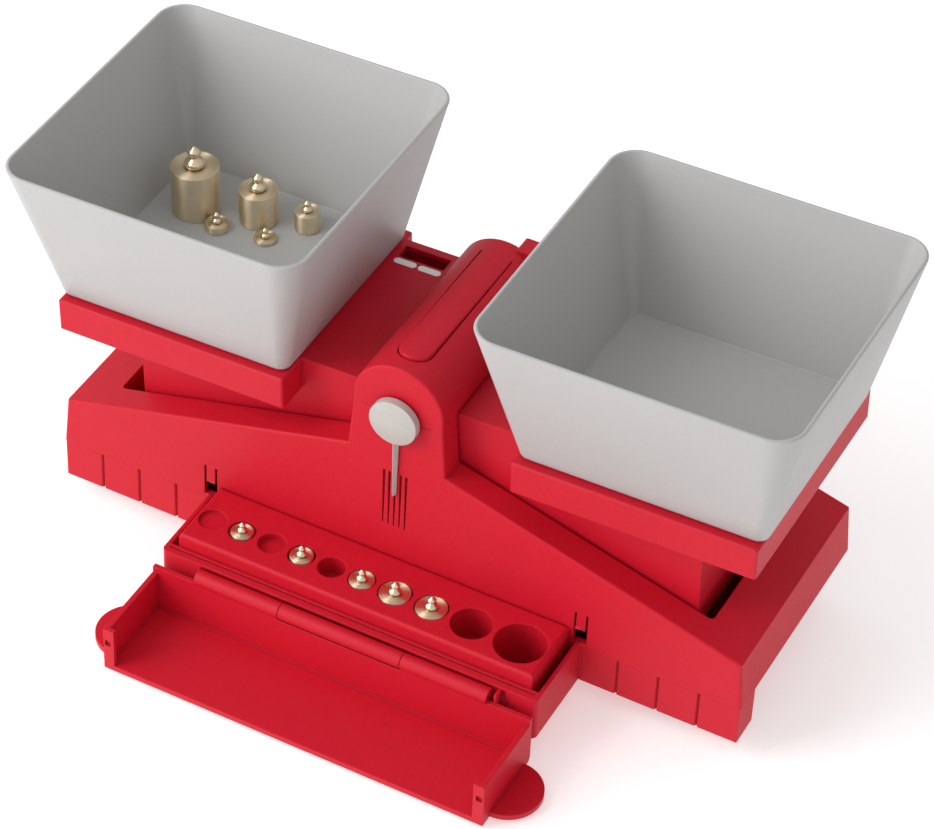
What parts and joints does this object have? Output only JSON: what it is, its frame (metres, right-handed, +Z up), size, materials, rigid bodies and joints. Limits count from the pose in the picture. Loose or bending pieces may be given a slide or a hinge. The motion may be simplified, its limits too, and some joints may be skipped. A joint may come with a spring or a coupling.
{
  "type": "precision balance",
  "caption": "Two-bucket school balance: a red housing with a tilting beam, square grey buckets, brass weights and a hinged lid over the weights compartment.",
  "frame": {"origin": "on the table, under the middle of the whole outline with the lid open; the base's middle plane lies 28.9 mm behind it in Y and 1.75 mm to its right, the beam's axis 96 mm above the table; the beam rests dipped 1.7 degrees to the left", "axes": "+X along the beam to the right bucket, +Y to the back, +Z up"},
  "size_m": [0.297, 0.1752, 0.1594],
  "materials": {
    "red_plastic": "fine matt moulded texture",
    "grey_plastic": "satin",
    "white_plastic": "satin",
    "knob_plastic": "satin",
    "steel": "turned",
    "rubber": "matt",
    "brass": "turned"
  },
  "bodies": {
    "base": {"base_tray": "red_plastic", "upper_housing": "red_plastic", "hub_cap": "red_plastic", "weight_rack": "red_plastic", "front_bush": "white_plastic", "rear_bush": "white_plastic", "hinge_pin": "steel", "rubber_feet": "rubber", "base_screws": "steel"},
    "beam": {"balance_beam": "red_plastic", "pivot_shaft": "steel", "pointer": "knob_plastic", "ballast_rod": "steel", "trim_clip": "white_plastic"},
    "left_bucket": {"left_bucket": "grey_plastic"},
    "right_bucket": {"right_bucket": "grey_plastic"},
    "brake_tongue": {"brake_tongue": "red_plastic"},
    "lid": {"lid": "red_plastic"},
    "weight_50g": {"weight_50g": "brass"},
    "weight_20g": {"weight_20g": "brass"},
    "weight_5g_loose": {"weight_5g_loose": "brass"},
    "weight_2g_loose": {"weight_2g_loose": "brass"},
    "weight_1g_loose": {"weight_1g_loose": "brass"},
    "weight_1g_racked": {"weight_1g_racked": "brass"},
    "weight_2g_racked": {"weight_2g_racked": "brass"},
    "weight_5g_racked": {"weight_5g_racked": "brass"},
    "weight_10g_left": {"weight_10g_left": "brass"},
    "weight_10g_right": {"weight_10g_right": "brass"}
  },
  "joints": [
    {"name": "beam_tilt", "type": "hinge", "parent": "base", "child": "beam", "pos_m": [0.00175, 0.0289, 0.096], "axis": [0, 1, 0], "range_deg": [-3.1, 6.5]},
    {"name": "left_bucket_lift", "type": "slide", "parent": "beam", "child": "left_bucket", "axis": [-0.0297, 0, 0.9996], "range_m": [0, 0.08]},
    {"name": "right_bucket_lift", "type": "slide", "parent": "beam", "child": "right_bucket", "axis": [-0.0297, 0, 0.9996], "range_m": [0, 0.08]},
    {"name": "brake_press", "type": "hinge", "parent": "base", "child": "brake_tongue", "pos_m": [0.00175, 0.0547, 0.1142], "axis": [1, 0, 0], "range_deg": [0, 3], "stiffness_Nm_per_rad": 0.5},
    {"name": "lid_swing", "type": "hinge", "parent": "base", "child": "lid", "pos_m": [0.00175, -0.0523, 0.0234], "axis": [1, 0, 0], "range_deg": [-180, 0]},
    {"name": "weight_50g_lift", "type": "slide", "parent": "left_bucket", "child": "weight_50g", "axis": [-0.0297, 0, 0.9996], "range_m": [0, 0.07]},
    {"name": "weight_20g_lift", "type": "slide", "parent": "left_bucket", "child": "weight_20g", "axis": [-0.0297, 0, 0.9996], "range_m": [0, 0.07]},
    {"name": "weight_5g_loose_lift", "type": "slide", "parent": "left_bucket", "child": "weight_5g_loose", "axis": [-0.0297, 0, 0.9996], "range_m": [0, 0.07]},
    {"name": "weight_2g_loose_lift", "type": "slide", "parent": "left_bucket", "child": "weight_2g_loose", "axis": [-0.0297, 0, 0.9996], "range_m": [0, 0.07]},
    {"name": "weight_1g_loose_lift", "type": "slide", "parent": "left_bucket", "child": "weight_1g_loose", "axis": [-0.0297, 0, 0.9996], "range_m": [0, 0.07]},
    {"name": "weight_1g_racked_lift", "type": "slide", "parent": "base", "child": "weight_1g_racked", "axis": [0, 0, 1], "range_m": [0, 0.03]},
    {"name": "weight_2g_racked_lift", "type": "slide", "parent": "base", "child": "weight_2g_racked", "axis": [0, 0, 1], "range_m": [0, 0.03]},
    {"name": "weight_5g_racked_lift", "type": "slide", "parent": "base", "child": "weight_5g_racked", "axis": [0, 0, 1], "range_m": [0, 0.03]},
    {"name": "weight_10g_left_lift", "type": "slide", "parent": "base", "child": "weight_10g_left", "axis": [0, 0, 1], "range_m": [0, 0.03]},
    {"name": "weight_10g_right_lift", "type": "slide", "parent": "base", "child": "weight_10g_right", "axis": [0, 0, 1], "range_m": [0, 0.03]}
  ]
}
